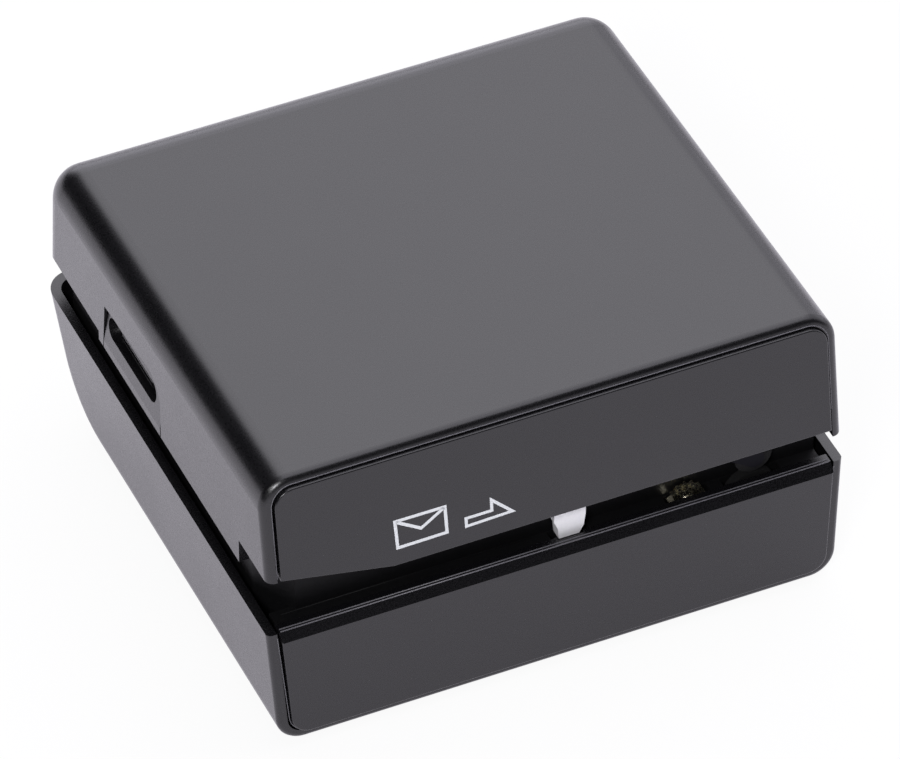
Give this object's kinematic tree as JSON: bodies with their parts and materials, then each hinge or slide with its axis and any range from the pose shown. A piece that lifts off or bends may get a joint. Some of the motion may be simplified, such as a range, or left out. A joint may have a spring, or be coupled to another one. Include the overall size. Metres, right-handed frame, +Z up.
{
  "type": "electric letter opener",
  "caption": "Compact battery-run letter opener with a hinged hood, front slot with start lever, toothed cutter wheel and feed wheel, side push latch and inner battery bay.",
  "frame": {"origin": "on the desk, under the middle of the machine's overall box", "axes": "+X right as the user faces the slot, +Y back, +Z up; the slot runs along X at the front and the hood's hinge axis is parallel to Y on the right"},
  "size_m": [0.13, 0.1236, 0.0683],
  "materials": {
    "base_shell": "satin black",
    "base_front_plate": "gloss black",
    "rubber_feet": "matte",
    "case_screws": "zinc plated",
    "chassis": "matte black",
    "inner_cover": "dark grey",
    "cover_screws": "zinc plated",
    "battery_tray": "matte black",
    "battery_cell_1": "printed sleeve, plain",
    "battery_cell_2": "printed sleeve, plain",
    "battery_cell_3": "printed sleeve, plain",
    "battery_cell_4": "printed sleeve, plain",
    "battery_contacts": "nickel plated",
    "battery_springs": "drawn wire",
    "motor_can": "plated",
    "motor_end_cap": "nylon",
    "motor_cradle": "matte black",
    "bearing_plate": "plated",
    "motor_screws": "zinc plated",
    "bearing_bushes": "sintered",
    "idler_axle": "ground",
    "lever_spring": "drawn wire",
    "switch_body": "dark red",
    "hinge_pins": "ground",
    "battery_lid": "dark grey",
    "hood_shell": "satin black",
    "hood_front_plate": "gloss black",
    "upper_guide": "matte black",
    "guide_screws": "zinc plated",
    "press_arm_pin": "ground",
    "latch_pin": "ground",
    "latch_spring": "drawn wire",
    "press_arm": "plated",
    "press_roller_pin": "ground",
    "press_roller": "matte",
    "push_latch": "matte black",
    "start_lever": "white",
    "lever_pin": "ground",
    "lever_cam": "acetal",
    "switch_plunger": "white",
    "motor_shaft": "ground",
    "motor_armature": "laminated",
    "motor_pinion": "turned",
    "cutter_shaft": "ground",
    "cutter_wheel": "titanium-nitride coated",
    "cutter_gear": "acetal",
    "idler_gear": "acetal",
    "feed_shaft": "ground",
    "feed_hub": "acetal",
    "feed_tyre": "matte",
    "feed_gear": "acetal"
  },
  "bodies": {
    "base": {"base_shell": "base_shell", "base_front_plate": "base_front_plate", "rubber_feet": "rubber_feet", "case_screws": "case_screws", "chassis": "chassis", "inner_cover": "inner_cover", "cover_screws": "cover_screws", "battery_tray": "battery_tray", "battery_cell_1": "battery_cell_1", "battery_cell_2": "battery_cell_2", "battery_cell_3": "battery_cell_3", "battery_cell_4": "battery_cell_4", "battery_contacts": "battery_contacts", "battery_springs": "battery_springs", "motor_can": "motor_can", "motor_end_cap": "motor_end_cap", "motor_cradle": "motor_cradle", "bearing_plate": "bearing_plate", "motor_screws": "motor_screws", "bearing_bushes": "bearing_bushes", "idler_axle": "idler_axle", "lever_spring": "lever_spring", "switch_body": "switch_body", "hinge_pins": "hinge_pins"},
    "battery_lid": {"battery_lid": "battery_lid"},
    "hood": {"hood_shell": "hood_shell", "hood_front_plate": "hood_front_plate", "upper_guide": "upper_guide", "guide_screws": "guide_screws", "press_arm_pin": "press_arm_pin", "latch_pin": "latch_pin", "latch_spring": "latch_spring"},
    "press_arm": {"press_arm": "press_arm", "press_roller_pin": "press_roller_pin"},
    "press_roller": {"press_roller": "press_roller"},
    "latch": {"push_latch": "push_latch"},
    "lever": {"start_lever": "start_lever", "lever_pin": "lever_pin", "lever_cam": "lever_cam"},
    "plunger": {"switch_plunger": "switch_plunger"},
    "motor_rotor": {"motor_shaft": "motor_shaft", "motor_armature": "motor_armature", "motor_pinion": "motor_pinion"},
    "cutter": {"cutter_shaft": "cutter_shaft", "cutter_wheel": "cutter_wheel", "cutter_gear": "cutter_gear"},
    "idler": {"idler_gear": "idler_gear"},
    "feed": {"feed_shaft": "feed_shaft", "feed_hub": "feed_hub", "feed_tyre": "feed_tyre", "feed_gear": "feed_gear"}
  },
  "joints": [
    {"name": "hood_hinge", "type": "hinge", "parent": "base", "child": "hood", "pos_m": [0.0605, 0, 0.0345], "axis": [0, 1, 0], "range_deg": [0, 75]},
    {"name": "latch_rock", "type": "hinge", "parent": "hood", "child": "latch", "pos_m": [-0.0601, 0.013, 0.0508], "axis": [0, -1, 0], "range_deg": [0, 5], "stiffness_Nm_per_rad": 0.3},
    {"name": "lever_swing", "type": "hinge", "parent": "base", "child": "lever", "pos_m": [0.0042, -0.054, 0.041], "axis": [0, -1, 0], "range_deg": [0, 40], "stiffness_Nm_per_rad": 0.01},
    {"name": "plunger_slide", "type": "slide", "parent": "base", "child": "plunger", "axis": [0, 0, -1], "range_m": [0, 0.0009]},
    {"name": "motor_spin", "type": "hinge", "parent": "base", "child": "motor_rotor", "pos_m": [0.0289, -0.042, 0.03675], "axis": [0, 1, 0], "continuous": true},
    {"name": "cutter_spin", "type": "hinge", "parent": "base", "child": "cutter", "pos_m": [0.0314, -0.045, 0.028], "axis": [0, 1, 0], "continuous": true},
    {"name": "idler_spin", "type": "hinge", "parent": "base", "child": "idler", "pos_m": [0.04346, -0.045, 0.03877], "axis": [0, 1, 0], "continuous": true},
    {"name": "feed_spin", "type": "hinge", "parent": "base", "child": "feed", "pos_m": [0.046, -0.045, 0.025], "axis": [0, 1, 0], "continuous": true},
    {"name": "press_arm_pivot", "type": "hinge", "parent": "hood", "child": "press_arm", "pos_m": [0.036, -0.055, 0.0423], "axis": [0, -1, 0], "range_deg": [0, 12], "stiffness_Nm_per_rad": 0.05},
    {"name": "press_roller_spin", "type": "hinge", "parent": "press_arm", "child": "press_roller", "pos_m": [0.046, -0.054, 0.0355], "axis": [0, 1, 0], "continuous": true},
    {"name": "battery_lid_slide", "type": "slide", "parent": "base", "child": "battery_lid", "axis": [1, 0, 0], "range_m": [0, 0.006]}
  ],
  "couplings": [
    {"joint": "plunger_slide", "follows": "lever_swing", "m_per_rad": 0.001289},
    {"joint": "cutter_spin", "follows": "motor_spin", "ratio": -0.85714},
    {"joint": "idler_spin", "follows": "motor_spin", "ratio": -0.4},
    {"joint": "feed_spin", "follows": "motor_spin", "ratio": 0.21538}
  ]
}
